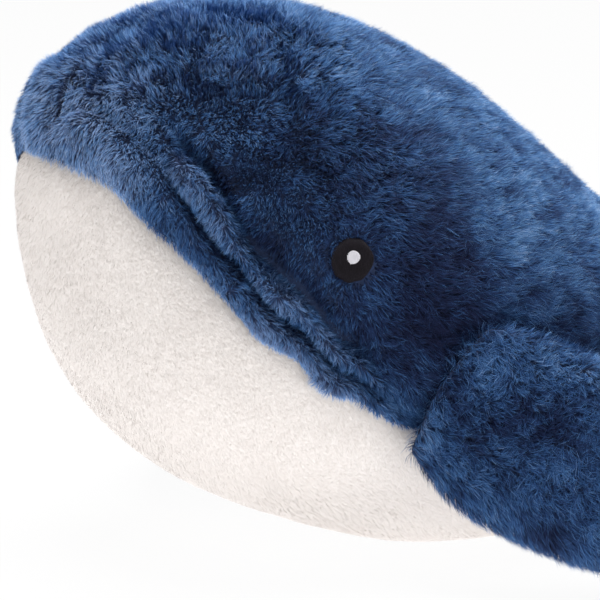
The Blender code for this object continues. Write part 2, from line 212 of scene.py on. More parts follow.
# The plush stands fuller where the flukes meet the tail
FLUKE_ROOT_FULLNESS = 0.0045
FLUKE_ROOT_SPAN = 0.016
# Place out from the middle, front edge, rear edge and half thickness
FLUKE_STATIONS = (
    (0.00, 0.000, 0.580, 0.420),
    (0.20, 0.020, 0.640, 0.500),
    (0.38, 0.150, 0.810, 0.480),
    (0.65, 0.420, 0.960, 0.400),
    (0.88, 0.700, 1.000, 0.270),
    (1.00, 0.930, 0.930, 0.000),
)

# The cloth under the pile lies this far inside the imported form, and less than that
# over the snout, towards the tail and at the join with the flukes
BLUE_PILE_DEPTH = 4.2 * MM
WHITE_PILE_DEPTH = 1.2 * MM
FIN_PILE_DEPTH = 3.1 * MM
FLUKE_PILE_DEPTH = 2.6 * MM
SNOUT_SHALLOWER = 0.22
TAIL_SHALLOWER = 0.35
JOIN_SHALLOWER = 0.85
# Mm below the seam over which the belly's depth changes from the blue pile's to its own
SEAM_DEPTH_REACH = 4
FIN_FILLING_DEPTH = 6.5 * MM
FLUKE_FILLING_DEPTH = 5.5 * MM
FLOOR_CLEARANCE = 0.2 * MM
# The cloth lies a little slack along the middle of the back
BACK_SLACK = 1.3 * MM
BACK_SLACK_AT = 0.25
BACK_SLACK_SPAN = 0.08
# The filling's unevenness: a broad swell, and hills as weight, size in mm and seed
BACK_SWELL_RISE = 0.9 * MM
BACK_SWELL_SIZE = 26 * MM
BACK_HILL_RISE = 1.3 * MM
BACK_HILLS = ((0.65, 12, 6), (0.35, 6, 8))
BELLY_HILLS = ((0.5, 32, 7), (0.2, 10, 9))
# Mm from the middle of the eye between which the hills set in
EYE_CALM = (6, 16)

# Stretches of the length over which one thing gives way to the next
FACE_TO_BACK = (0.10, 0.30)
LIP_TO_BACK = (0.30, 0.22)
SNOUT_TO_CHEEK = (0.06, 0.03)
FRINGE_START = (0.0, 0.006)
NOSE_END = (0.035, 0.012)
FAR_NOSE_END = (0.035, 0.015)
LIP_START = (0.03, 0.06)
LIP_END = (0.26, 0.20)
JOIN_START = (0.90, 0.97)
TAIL_END = (0.93, 0.985)
# Stretches up from the seam, in mm
OFF_SEAM = (0, 12)
LOW_CHEEK = (45, 25)
HIGH_FLANK = (30, 70)
HIGH_FACE = (70, 95)
BACK_LINE = (60, 110)

# Fineness
BACK_ROWS, BACK_COLUMNS = 262, 184
BELLY_ROWS, BELLY_COLUMNS = 220, 160
LIMB_ROWS, LIMB_COLUMNS = 90, 96
FILLING_ROWS, FILLING_COLUMNS = 80, 96
NORMAL_STEP = 0.002
# A form's end comes to a point, and no half width or half thickness is less than this
LEAST_HALF = 1e-9

# Pile: fibres to the square millimetre, and their shape
BLUE_DENSITY = 8.0
LIMB_DENSITY = 7.5
WHITE_DENSITY = 4.5
FIBRE_STEPS = (0.0, 0.5)
FIBRE_TAPERS = (1.0, 0.75)
# How wide the fibres are, how far they gather into locks and stray, and how evenly they shade
BLUE_LOOK = {"half_width": 0.090 * MM, "gather": 0.42, "stray": 0.30, "smooth": 0.8}
WHITE_LOOK = {"half_width": 0.08 * MM, "gather": 0.08, "stray": 0.08, "smooth": 7.0}
# A fibre bends at this share of its length. Its root is steeper than its tip by this
# angle in radians, and both angles have limits.
FIBRE_BEND = 0.45
ROOT_STEEPER = 0.55
LIFT_LIMITS = (0.12, 1.45)
STEEPEST_ROOT = 1.5
FIBRE_ROLL = 0.9
# How far a fibre's bend follows when its tip is drawn to its lock
BEND_FOLLOWS = 0.35
# Fibres stand in tufts of locks of fine locks: how far apart each kind is, and how much it varies
TUFT = SimpleNamespace(
    spacing=6.0 * MM, salt=1, turn=0.82, lift=0.55, length=0.25, gather=0.16, tone=0.20,
)
LOCK = SimpleNamespace(
    spacing=0.95 * MM, salt=2, turn=0.90, lift=0.50, length=0.20, gather=1.0, tone=0.18,
)
FINE = SimpleNamespace(spacing=0.50 * MM, salt=3, turn=0.55, gather=0.30, tone=0.18)
# What each of a seed's random numbers is for
FOR_NOISE, FOR_TURN, FOR_LENGTH, FOR_LIFT, FOR_TONE, FOR_PLACE = 1, 1, 5, 6, 7, 11
# This share of the fibres is paler by this much
PALE_SHARE = 0.12
PALE_TONE = 0.26
MOST_FIBRES_A_PIECE = 65000
PILE_SEED = 20
# The pile is longer by this share at the tail's end, where it covers the join with the flukes
TAIL_PILE_SHARE = 1.0
# How far along its run from root to tip colour a fibre ends
PLAIN_FROST = 0.87

# Ways the pile lies: towards the left, the tail and upwards
TAIL_LAY = (0.0, 1.0, -0.12)
SNOUT_LAY = (0.25, -0.45, -0.85)
COMBED_LAY = (0.30, -0.25, -1.0)
BELLY_LAY = (0.0, 0.55, -0.8)
# The strip along the back line where the two sides' piles lean over it, and the eye's parting
MIDDLE_LINE_SPAN = 6 * MM
PARTING_SPAN = 13.5 * MM
# Patches of tone on the fins and flukes: weight, size in mm and seed
LIMB_PATCHES = ((0.16, 13, 55), (0.18, 6, 56))

# How tightly each piece is stuffed, from 0, slack, to 1, tight
BODY_FILL = 0.8
LIMB_FILL = 0.6

# Stitches of the eye and of its glint. The glint sits in the eye's dome and has a small tip.
EYE_THREADS = 46
GLINT_THREADS = 13
GLINT_RISE = 0.0007
GLINT_POINT = 0.12
GLINT_SEAT = 0.92
THREAD_TUCK = 0.0002

# Photograph's camera, fitted to the outline of the body
CAMERA_AZIMUTH_DEG = 54.2
CAMERA_ELEVATION_DEG = 9.9
CAMERA_DISTANCE = 1.2
CAMERA_AIM = (-0.0019, 0.0940, 0.0790)
CAMERA_LENS_MM = 225.0
CAMERA_SENSOR_MM = 36.0
CAMERA_CLIP = (0.05, 20)

# Studio
WHITE = (1, 1, 1, 1)
WORLD_LEVEL = 0.33
# Round lights: name, place, size and watts
LIGHTS = (
    ("top_light", (0.15, -0.05, 1.50), 1.2, 31.0),
    ("side_light", (-0.95, -1.30, 0.65), 0.9, 2.8),
)
LIGHTS_AIM = (0, -0.05, 0.08)
FLOOR_REACH = 6.0
FLOOR_GLOW = 1.27
FLOOR_GREY = (0.50, 0.50, 0.50, 1)
SEEN_FLOOR_GREY = (0.95, 0.95, 0.95, 1)
FLOOR_WHITE_SHARE = 0.95
RAYS_THAT_SEE = ("Is Camera Ray", "Is Glossy Ray", "Is Transmission Ray")


def smooth_curve(places, values, at):
    """A smooth curve through the values at the given places."""
    places = np.asarray(places, float)
    values = np.asarray(values, float)
    slopes = np.gradient(values, places)
    at = np.clip(np.asarray(at, float), places[0], places[-1])
    i = np.clip(np.searchsorted(places, at) - 1, 0, len(places) - 2)
    step = places[i + 1] - places[i]
    t = (at - places[i]) / step
    start = (1 + 2 * t) * (1 - t) ** 2 * values[i] + t * (1 - t) ** 2 * step * slopes[i]
    end = t**2 * (3 - 2 * t) * values[i + 1] + t**2 * (t - 1) * step * slopes[i + 1]
    return start + end


def turn_of(share):
    """How far round a half circle a place along the length is. Rows are even in it."""
    return np.arccos(1 - 2 * np.clip(share, 0, 1)) / math.pi


def share_of(turn):
    return (1 - np.cos(math.pi * np.asarray(turn, float))) / 2


def smooth_columns(table, turn):
    """The columns of a table of stations as smooth curves. Its first column is the place along."""
    places, *columns = np.array(table).T
    return [smooth_curve(turn_of(places), column, turn) for column in columns]


def straight_columns(table, share):
    places, *columns = np.array(table).T
    return [np.interp(share, places, column) for column in columns]


def power(values, exponent):
    return np.sign(values) * np.abs(values) ** exponent


def unit(vectors):
    return vectors / np.maximum(np.linalg.norm(vectors, axis=-1, keepdims=True), 1e-12)


def ease(low, high, values):
    """A smooth step from 0 at low to 1 at high."""
    t = np.clip((values - low) / (high - low), 0, 1)
    return t * t * (3 - 2 * t)


def bell(distance):
    return np.exp(-(distance**2))


def blend(one, other, weight):
    """One where the weight is 0, the other where it is 1."""
    return one * (1 - weight) + other * weight


def flat_to(vectors, normals):
    """Vectors with what stands out of the surface taken away."""
    return vectors - (vectors * normals).sum(-1, keepdims=True) * normals


def mirror_for(side):
    return np.array([side, 1, 1])


# Chance that depends only on the place, so that each run gives the same pile

def scramble(value):
    value = value & 0xFFFFFFFF
    value = ((value ^ (value >> 16)) * 0x45D9F3B) & 0xFFFFFFFF
    value = ((value ^ (value >> 16)) * 0x45D9F3B) & 0xFFFFFFFF
    return value ^ (value >> 16)


def cell_key(cells, salt):
    cells = cells.astype(np.int64)
    mixed = cells[..., 0] * 73856093 ^ cells[..., 1] * 19349663 ^ cells[..., 2] * 83492791
    return scramble(mixed ^ (salt * 97531))


def chance(key, stream):
    """A number from 0 to 1."""
    return scramble(key + stream * 7919) / 4294967296.0


def chance_vector(key, stream):
    return np.stack([chance(key, stream + k) * 2 - 1 for k in range(3)], -1)


def lumps(points, size, salt):
    """Smooth noise from -1 to 1 with bumps of the given size."""
    scaled = points / size
    low = np.floor(scaled)
    part = scaled - low
    part = part * part * (3 - 2 * part)
    total = 0
    for corner in range(8):
        offset = np.array([corner & 1, corner >> 1 & 1, corner >> 2 & 1])
        weight = np.prod(np.where(offset == 1, part, 1 - part), -1)
        total = total + weight * (chance(cell_key(low + offset, salt), FOR_NOISE) * 2 - 1)
    return total


def mixed_lumps(points, kinds):
    """Smooth noise of several sizes: each kind has a weight, a size in mm and a seed."""
    return sum(weight * lumps(points, size * MM, salt) for weight, size, salt in kinds)


def drift(surface, size, salt):
    """Smooth noise with a direction, along the surface."""
    noises = [lumps(surface["points"], size, salt + k) for k in range(3)]
    return flat_to(np.stack(noises, -1), surface["normals"])


def nearest_seed(points, spacing, salt):
    """The nearest of a scatter of seeds, one in each cell of a grid: its place and its key."""
    base = np.floor(points / spacing)
    best = np.full(points.shape[:-1], np.inf)
    place = np.zeros_like(points)
    key = np.zeros(points.shape[:-1], np.int64)
    for i, j, k in itertools.product((-1, 0, 1), repeat=3):
        cells = base + np.array([i, j, k])
        found = cell_key(cells, salt)
        where = (cells + chance_vector(found, FOR_PLACE) * 0.5 + 0.5) * spacing
        distance = ((where - points) ** 2).sum(-1)
        nearer = distance < best
        best = np.where(nearer, distance, best)
        place = np.where(nearer[..., None], where, place)
        key = np.where(nearer, found, key)
    return place, key


# The toy's form

def body_point(turn, angle):
    """A point of the body, its nose at y = 0. The angle runs from the back line down the left side."""
    back, belly, half = smooth_columns(BODY_STATIONS, turn)
    top = HEAD_HEIGHT * back
    bottom = HEAD_HEIGHT * belly
    half_width = BODY_WIDTH * np.maximum(half, 0)
    roundness = np.where(np.cos(angle) > 0, UPPER_ROUNDNESS, LOWER_ROUNDNESS)
    rise = (top - bottom) / 2 * power(np.cos(angle), roundness)
    across = half_width * power(np.sin(angle), roundness)
    along = BODY_LENGTH * share_of(turn) + 0 * angle
    return np.stack([across, along, (top + bottom) / 2 + rise - REST_CUT], -1)


def body_normal(turn, angle):
    step = NORMAL_STEP
    turn = np.asarray(turn, float) + 0 * angle
    near = np.clip(turn, 2 * step, 1 - 2 * step)
    along = body_point(near + step, angle) - body_point(near - step, angle)
    around = body_point(near, angle + step) - body_point(near, angle - step)
    normal = unit(np.cross(around, along))
    nose = (turn < step)[..., None]
    tail = (turn > 1 - step)[..., None]
    return np.where(nose, [0.0, -1.0, 0.0], np.where(tail, [0.0, 1.0, 0.0], normal))


def seam_angle(turn, side=1):
    share = share_of(turn)
    place = smooth_columns(SEAM_STATIONS, turn)[0]
    raised = FAR_SEAM_RAISE * bell((share - FAR_SEAM_RAISE_AT) / FAR_SEAM_RAISE_SPAN)
    wave = smooth_curve(*np.array(SEAM_WAVES).T, share) * MM / (BODY_WIDTH / 2)
    return math.pi * (place - (raised if side < 0 else 0)) - wave


def in_place(points):
    """From the nose's frame to the toy's own, resting on the floor."""
    moved = points + np.array([0, CAD_LOW[1], 0])
    moved[..., 2] = np.maximum(moved[..., 2], FLOOR_CLEARANCE)
    return moved


def lip_fullness(share, side):
    """1 on the left side. The right side's lip is the flatter one."""
    return straight_columns(FAR_LIP_STATIONS, share)[0] if side < 0 else 1.0 + 0 * share


def lip_rise(share, above):
    """How far the lip's rolls stand up, with the crease between them and the valley above them."""
    crease, edge, lower, upper = straight_columns(LIP_STATIONS, share)
    low_roll = np.sin(math.pi * np.clip((above + 2) / (crease + 2), 0, 1)) ** 0.8
    over = np.clip((above - crease) / (edge - crease), 0, 1)
    high_roll = over**0.6 * (1 - over**9)
    rise = LOWER_ROLL_RISE * lower * low_roll
    rise = rise + UPPER_ROLL_RISE * upper * high_roll
    rise = rise - CREASE_DEPTH * upper * bell((above - crease) / CREASE_HALF_WIDTH)
    return rise - VALLEY_DEPTH * upper * bell((above - edge - VALLEY_OFFSET) / VALLEY_HALF_WIDTH)


def near_path(points, side, path_mm, core, falloff):
    """1 along a path over the face, falling to 0 round it."""
    path = in_place(np.array(path_mm) * MM) * mirror_for(side)
    nearest = np.full(points.shape[:-1], np.inf)
    for start, end in zip(path[:-1], path[1:]):
        run = end - start
        t = np.clip(((points - start) @ run) / (run @ run), 0, 1)
        nearest = np.minimum(nearest, np.linalg.norm(points - start - t[..., None] * run, axis=-1))
    return bell(np.maximum(nearest - core, 0) / falloff)


def eye_place(side):
    """Middle of an eye on the body's form, and the direction straight out of it."""
    turn = turn_of(EYE_SETBACK / BODY_LENGTH)
    angle = np.float64(math.radians(EYE_TURN_DEG))
    mirror = mirror_for(side)
    return in_place(body_point(turn, angle)) * mirror, body_normal(turn, angle) * mirror


def surface_normals(points):
    """Normals of a grid of points whose rows run back and whose columns run down the left side."""
    back = np.gradient(points, axis=0)
    down = np.gradient(points, axis=1)
    return unit(np.cross(down, back))


def normals_outward(points):
    """Normals of a closed form of rings, turned away from its middle."""
    middle = points[:, :-1].mean(1, keepdims=True)
    normals = surface_normals(points)
    return normals * np.sign(((points - middle) * normals).sum(-1).mean())


def lengths_down(points):
    """Distance of each point from its row's first point, along the row."""
    steps = np.linalg.norm(np.diff(points, axis=1), axis=-1)
    return np.concatenate([np.zeros((len(points), 1)), np.cumsum(steps, axis=1)], axis=1)


def skin_depth(share):
    """How deep the inner face of the plush lies."""
    return SKIN_THICKNESS * (1 - SKIN_THINNING * share)


def ring_grid(rows, columns):
    """Turns along a form, one to a row, and angles round it, one to a column."""
    return np.linspace(0, 1, rows)[:, None], np.linspace(0, 2 * math.pi, columns)[None, :]


def back_surface(side):
    """The cloth of one side of the back, with what the pile needs to know at each point."""
    turn = np.linspace(0, 1, BACK_ROWS)[:, None]
    angle = seam_angle(turn, side) * np.linspace(0, 1, BACK_COLUMNS)[None, :]
    mirror = mirror_for(side)
    form = body_point(turn, angle)
    normal = body_normal(turn, angle)
    share = share_of(turn) + 0 * angle
    down = lengths_down(form)
    above = (down[:, -1:] - down) / MM
    snout = ease(0.25, 0.10, share)
    depth = BLUE_PILE_DEPTH * (1 - SNOUT_SHALLOWER * snout - TAIL_SHALLOWER * share)
    depth = depth + BACK_SLACK * bell((share - BACK_SLACK_AT) / BACK_SLACK_SPAN) * ease(*BACK_LINE, above)
    depth = depth * (1 - JOIN_SHALLOWER * ease(*JOIN_START, share))
    fullness = lip_fullness(share, side)
    rise = lip_rise(share, above) * fullness - depth
    place = in_place(form) * mirror
    middle, _ = eye_place(side)
    from_eye = np.linalg.norm(place - middle, axis=-1)
    rise = rise - EYE_SOCKET_DEPTH * bell(from_eye / EYE_SOCKET_RADIUS)
    rise = rise + BACK_SWELL_RISE * lumps(place, BACK_SWELL_SIZE, salt=5) * ease(*OFF_SEAM, above)
    calm = ease(*EYE_CALM, from_eye / MM) * (1 - 0.35 * ease(*FACE_TO_BACK, share))
    hills = mixed_lumps(place, BACK_HILLS)
    rise = rise + BACK_HILL_RISE * hills * calm
    cheek = bell((share - FAR_CHEEK_AT[0]) / FAR_CHEEK_SPAN[0])
    cheek = cheek * bell((above - FAR_CHEEK_AT[1]) / FAR_CHEEK_SPAN[1])
    rise = rise + (FAR_CHEEK_RISE if side < 0 else 0) * cheek
    points = in_place(form + rise[..., None] * normal) * mirror
    inner = in_place(form - skin_depth(share)[..., None] * normal) * mirror
    shift = np.array([side * PIECE_GAP / 2, 0, 0])
    return {
        "points": points + shift,
        "inner": inner + shift,
        "normals": surface_normals(points * mirror) * mirror,
        "share": share,
        "above": above,
        "hills": hills * calm,
        "fullness": fullness,
        "from_eye": from_eye,
    }


def belly_surface():
    """The cloth of the white belly."""
    turn = np.linspace(0, 1, BELLY_ROWS)[:, None]
    seam = seam_angle(turn)
    far_seam = seam_angle(turn, -1)
    angle = seam + (2 * math.pi - seam - far_seam) * np.linspace(0, 1, BELLY_COLUMNS)[None, :]
    form = body_point(turn, angle)
    normal = body_normal(turn, angle)
    share = share_of(turn) + 0 * angle
    down = lengths_down(form)
    below = np.minimum(down, down[:, -1:] - down) / MM
    depth = WHITE_PILE_DEPTH + (BLUE_PILE_DEPTH - WHITE_PILE_DEPTH) * np.exp(-below / SEAM_DEPTH_REACH)
    depth = depth * (1 - TAIL_SHALLOWER * share)
    rise = -depth + mixed_lumps(in_place(form), BELLY_HILLS) * MM * ease(*OFF_SEAM, below)
    drop = np.array([0, 0, PIECE_GAP])
    points = in_place(form + rise[..., None] * normal - drop)
    return {
        "points": points,
        "inner": in_place(form - skin_depth(share)[..., None] * normal - drop),
        "normals": surface_normals(points),
        "share": share,
    }


def fin_axes():
    """The left fin's hinge place, and the directions along the fin, along its hinge and through it."""
    turn = turn_of(FIN_SETBACK / BODY_LENGTH)
    angle = math.radians(FIN_ROOT_TURN_DEG)
    outward = body_normal(turn, np.float64(angle))
    back = unit(np.cross(outward, [0.0, 0.0, 1.0]))
    back = back * np.sign(back[1])
    up = unit(np.cross(back, outward))
    up = up * np.sign(up[2])
    slope = math.radians(FIN_ROOT_SLOPE_DEG)
    lift = math.radians(FIN_LIFT_DEG)
    hinge = math.cos(slope) * back + math.sin(slope) * up
    lying = math.sin(slope) * back - math.cos(slope) * up
    along = math.cos(lift) * lying + math.sin(lift) * outward
    through = np.cross(hinge, along)
    through = through * np.sign(through @ outward)
    place = body_point(turn, np.float64(angle)) + (FIN_ROOT_RADIUS + PIECE_GAP) * outward
    return place, along, hinge, through


def shrink(half, depth):
    half = np.maximum(half, LEAST_HALF)
    return half * half / (half + depth)


def fin_form(turn, angle, depth):
    """A point of the left fin, brought in by a depth: along the fin, along its hinge and through it."""
    half_chord, half_thick = smooth_columns(FIN_STATIONS, turn)
    chord = FIN_CHORD * np.maximum(half_chord, 0)
    thick = FIN_THICKNESS * np.maximum(half_thick, 0)
    full = (FIN_LENGTH + FIN_ROOT_RADIUS) * share_of(turn) - FIN_ROOT_RADIUS
    root = np.sqrt(np.clip((full + FIN_ROOT_RADIUS) / FIN_ROOT_RADIUS, 0, 1))
    low = min(depth, FIN_ROOT_RADIUS) - FIN_ROOT_RADIUS
    out = low + (FIN_LENGTH - depth - low) * share_of(turn)
    chord = shrink(chord * root, depth)
    thick = shrink(thick * root, depth)
    sweep = FIN_SWEEP * share_of(turn) ** 2
    return np.stack([out + 0 * angle, sweep + chord * np.cos(angle), thick * np.sin(angle)], -1)


def fin_front(share, edge):
    """1 on the edge that leads the fin near its root, 0 elsewhere."""
    return ease(*FIN_EDGE, -edge) * ease(0.50, 0.15, share)


def fin_surface(side, depth):
    turn, angle = ring_grid(LIMB_ROWS, LIMB_COLUMNS)
    place, along, hinge, through = fin_axes()
    mirror = mirror_for(side)
    share = share_of(turn) + 0 * angle
    edge = np.cos(angle) + 0 * turn
    points = place + fin_form(turn, angle, depth) @ np.stack([along, hinge, through])
    points = points - FIN_ROOT_FULLNESS * ease(0.30, 0.0, share)[..., None] * along
    points = points - FIN_FRONT_FULLNESS * fin_front(share, edge)[..., None] * hinge
    points = in_place(points) * mirror
    return {
        "points": points,
        "normals": normals_outward(points),
        "along": along * mirror,
        "hinge": hinge * mirror,
        "share": share,
        "edge": edge,
    }


def fluke_surface(depth):
    turn, angle = ring_grid(2 * LIMB_ROWS, LIMB_COLUMNS)
    span = 2 * share_of(turn) - 1
    places, *columns = np.array(FLUKE_STATIONS).T
    front, rear, half = [smooth_curve(places, column, np.abs(span)) for column in columns]
    front = FLUKE_REACH * front
    rear = FLUKE_REACH * rear
    half_chord = shrink((rear - front) / 2, depth)
    thick = shrink(FLUKE_THICKNESS * np.maximum(half, 0), depth)
    across = (FLUKE_SPAN / 2 - depth) * span
    tail_height = HEAD_HEIGHT * BODY_STATIONS[-1][1] - REST_CUT
    root = (1 + np.cos(angle)) / 2 * bell(across / FLUKE_ROOT_SPAN)
    along = BODY_LENGTH + PIECE_GAP + (rear + front) / 2 - half_chord * np.cos(angle)
    along = along - FLUKE_ROOT_FULLNESS * root
    rise = tail_height + thick * np.sin(angle)
    points = in_place(np.stack([across + 0 * angle, along, rise], -1))
    return {
        "points": points,
        "normals": normals_outward(points),
        "across": span + 0 * angle,
        "front": root,
    }


# Meshes

def mesh_object(name, points, faces, made_of=None, uv=None, normals=None):
    """A new object from arrays of points and of triangles or quads. UVs and normals are one to a vertex."""
    mesh = bpy.data.meshes.new(name)
    mesh.vertices.add(len(points))
    mesh.vertices.foreach_set("co", np.ascontiguousarray(points, np.float32).ravel())
    mesh.loops.add(faces.size)
    mesh.loops.foreach_set("vertex_index", faces.astype(np.int32).ravel())
    mesh.polygons.add(len(faces))
    mesh.polygons.foreach_set("loop_start", np.arange(len(faces), dtype=np.int32) * faces.shape[1])
    mesh.update(calc_edges=True)
    mesh.shade_smooth()
    if uv is not None:
        layer = mesh.uv_layers.new(name=PILE_UV)
        layer.data.foreach_set("uv", uv[faces.ravel()].astype(np.float32).ravel())
    if normals is not None:
        mesh.normals_split_custom_set_from_vertices(normals.astype(np.float32))
    mesh.validate()
    if made_of is not None:
        mesh.materials.append(made_of)
    thing = bpy.data.objects.new(name, mesh)
    bpy.context.scene.collection.objects.link(thing)
    return thing


def grid_quads(rows, columns, first=0, flip=False):
    start = (np.arange(rows - 1)[:, None] * columns + np.arange(columns - 1)[None, :]).ravel() + first
    quads = np.stack([start, start + 1, start + columns + 1, start + columns], -1)
    return quads[:, ::-1] if flip else quads


def grid_uv(rows, columns, low, high):
    """UVs of a grid, from low to high across its columns and the whole height along its rows."""
    across = np.broadcast_to(np.linspace(low, high, columns)[None, :], (rows, columns))
    along = np.broadcast_to(np.linspace(0.01, 0.99, rows)[:, None], (rows, columns))
    return np.stack([across, along], -1).reshape(-1, 2)


def skin_object(name, surface, flip, made_of):
    """A closed skin of cloth between its outer and its inner surface."""
    outer = surface["points"]
    inner = surface["inner"]
    rows, columns = outer.shape[:2]
    count = rows * columns
    quads = [grid_quads(rows, columns, 0, not flip), grid_quads(rows, columns, count, flip)]
    for column, turned in ((0, flip), (columns - 1, not flip)):
        here = np.arange(rows - 1) * columns + column
        side = np.stack([here, here + columns, count + here + columns, count + here], -1)
        quads.append(side[:, ::-1] if turned else side)
    uv = grid_uv(rows, columns, 0.01, 0.49)
    uv = np.concatenate([uv, uv + np.array([0.5, 0])])
    points = np.concatenate([outer.reshape(-1, 3), inner.reshape(-1, 3)])
    return mesh_object(name, points, np.concatenate(quads), made_of, uv)


def closed_object(name, surface, flip, made_of):
    """A stuffed form through rings that shrink to a point at both ends."""
    points = surface["points"]
    rows, columns = points.shape[:2]
    quads = grid_quads(rows, columns, 0, flip)
    return mesh_object(name, points.reshape(-1, 3), quads, made_of, grid_uv(rows, columns, 0.01, 0.99))


def dress(thing, nodes, body):
    """Hides the nodes a piece takes the place of, and puts the piece on the body it rides on."""
    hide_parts(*nodes)
    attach(thing, body)


# Pile

def scatter(surface, density, rng, order):
    """Random roots spread evenly over a surface, with the fields of the pile and of its order read there."""
    points = surface["points"]
    wide = points[:-1, 1:] - points[:-1, :-1]
    tall = points[1:, :-1] - points[:-1, :-1]
    area = np.linalg.norm(np.cross(wide, tall), axis=-1) / MM**2
    total = np.cumsum((area * surface["thinning"][:-1, :-1] * density).ravel())
    count = int(total[-1])
    pick = np.searchsorted(total, (np.arange(count) + rng.random(count)) / count * total[-1])
    row, column = np.divmod(np.clip(pick, 0, area.size - 1), area.shape[1])
    a = rng.random(count)
    b = rng.random(count)
    corners = (((1 - a) * (1 - b), 0, 0), ((1 - a) * b, 0, 1), (a * (1 - b), 1, 0), (a * b, 1, 1))
    read = {}
    for name in PILE_FIELDS + (order,):
        read[name] = 0
        for weight, i, j in corners:
            value = surface[name][row + i, column + j]
            read[name] = read[name] + (weight[:, None] if value.ndim == 2 else weight) * value
    return read


def grow(roots, rng, half_width, gather, stray, smooth):
    """Fibres that leave the cloth steeply, bend the way the pile lies and join their lock."""
    root = roots["points"]
    normal = unit(roots["normals"])
    count = len(root)
    (tuft, tuft_key), (lock, lock_key), (fine, fine_key) = [
        nearest_seed(root, kind.spacing, kind.salt) for kind in (TUFT, LOCK, FINE)
    ]
    ruffle = roots["ruffle"]
    turned = TUFT.turn * chance_vector(tuft_key, FOR_TURN) + LOCK.turn * chance_vector(lock_key, FOR_TURN)
    lay = unit(roots["lay"]) + ruffle[:, None] * turned
    lay = lay + ruffle[:, None] * FINE.turn * chance_vector(fine_key, FOR_TURN)
    lay = lay + stray * (rng.random((count, 3)) * 2 - 1)
    lay = unit(flat_to(lay, normal))
    longer = 0.80 + TUFT.length * chance(tuft_key, FOR_LENGTH) + LOCK.length * chance(lock_key, FOR_LENGTH)
    length = (roots["length"] * longer * (0.85 + 0.30 * rng.random(count)))[:, None]
    lifted = TUFT.lift * (chance(tuft_key, FOR_LIFT) - 0.5) + LOCK.lift * (chance(lock_key, FOR_LIFT) - 0.5)
    lift = roots["lift"] + ruffle * lifted
    lift = np.clip(lift + 0.12 * (rng.random(count) - 0.5), *LIFT_LIMITS)[:, None]
    steep = np.minimum(lift + ROOT_STEEPER, STEEPEST_ROOT)
    first = root + FIBRE_BEND * length * (normal * np.sin(steep) + lay * np.cos(steep))
    tip = first + (1 - FIBRE_BEND) * length * (normal * np.sin(lift) + lay * np.cos(lift))
    drawn = 0
    for kind, seed in ((LOCK, lock), (FINE, fine), (TUFT, tuft)):
        drawn = drawn + kind.gather * gather * flat_to(seed - root, normal)
    tip = tip + drawn
    first = first + BEND_FOLLOWS * drawn
    middle = 0.5 * (2 * first - (root + tip) / 2) + 0.5 * first
    times = np.array(FIBRE_STEPS + (1.0,))[None, :, None]
    path = (1 - times) ** 2 * root[:, None] + 2 * times * (1 - times) * middle[:, None]
    path = path + times**2 * tip[:, None]
    along = unit(np.gradient(path, axis=1))
    up = np.broadcast_to(normal[:, None], path.shape)
    side = unit(np.cross(along, up))
    face = np.cross(side, along)
    roll = (rng.random((count, 1, 1)) * 2 - 1) * FIBRE_ROLL
    side, face = side * np.cos(roll) + face * np.sin(roll), face * np.cos(roll) - side * np.sin(roll)
    width = half_width * (0.75 + 0.5 * rng.random((count, 1, 1))) * np.array(FIBRE_TAPERS)[None, :, None]
    shade = unit(face + smooth * up)
    points = [path[:, :-1] + turn * side[:, :-1] * width for turn in (-1, 1)]
    normals = [unit(shade[:, :-1] + turn * 0.5 * side[:, :-1]) for turn in (-1, 1)]
    points = np.concatenate(points + [path[:, -1:]], axis=1)
    normals = np.concatenate(normals + [shade[:, -1:]], axis=1)
    points[..., 2] = np.maximum(points[..., 2], FLOOR_CLEARANCE)
    tone = roots["tone"] + TUFT.tone * (chance(tuft_key, FOR_TONE) - 0.5)
    tone = tone + LOCK.tone * (chance(lock_key, FOR_TONE) - 0.5)
    tone = tone + FINE.tone * (chance(fine_key, FOR_TONE) - 0.5) + 0.34 * (rng.random(count) - 0.5)
    tone = np.clip(tone + PALE_TONE * (rng.random(count) < PALE_SHARE), 0.02, 0.98)
    steps = np.array(FIBRE_STEPS + FIBRE_STEPS + (1.0,))
    faded = 0.02 + 0.96 * roots["frost"][:, None] * steps[None, :]
    uv = np.stack([np.broadcast_to(tone[:, None], points.shape[:2]), faded], -1)
    return points, normals, uv


def fibre_triangles(count):
    """Triangles of fibres that each have left points, right points and a tip."""
    n = len(FIBRE_STEPS)
    one = []
    for k in range(n - 1):
        one.append((k, n + k, n + k + 1))
        one.append((k, n + k + 1, k + 1))
    one.append((n - 1, 2 * n - 1, 2 * n))
    return (np.arange(count)[:, None, None] * (2 * n + 1) + np.array(one)[None]).reshape(-1, 3)


def cover(name, surface, density, rng, panels, body, kind, flip=False, order="share"):
    """Cloth with its pile in the place of packed panels, the pile in pieces of a moderate size.

    The pieces are cut where the order field passes from one to the next."""
    cloth = skin_object if "inner" in surface else closed_object
    dress(cloth(f"{name}_plush", surface, flip, kind.cloth), panels, body)
    roots = scatter(surface, density, rng, order)
    points, normals, uv = grow(roots, rng, **kind.look)
    ranked = np.argsort(roots[order], kind="stable")
    pieces = max(1, math.ceil(len(ranked) / MOST_FIBRES_A_PIECE))
    for number, chosen in enumerate(np.array_split(ranked, pieces)):
        thing = mesh_object(
            f"{name}_pile" if pieces == 1 else f"{name}_pile_{number + 1}",
            points[chosen].reshape(-1, 3),
            fibre_triangles(len(chosen)),
            kind.pile,
            uv[chosen].reshape(-1, 2),
            normals[chosen].reshape(-1, 3),
        )
        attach(thing, body)


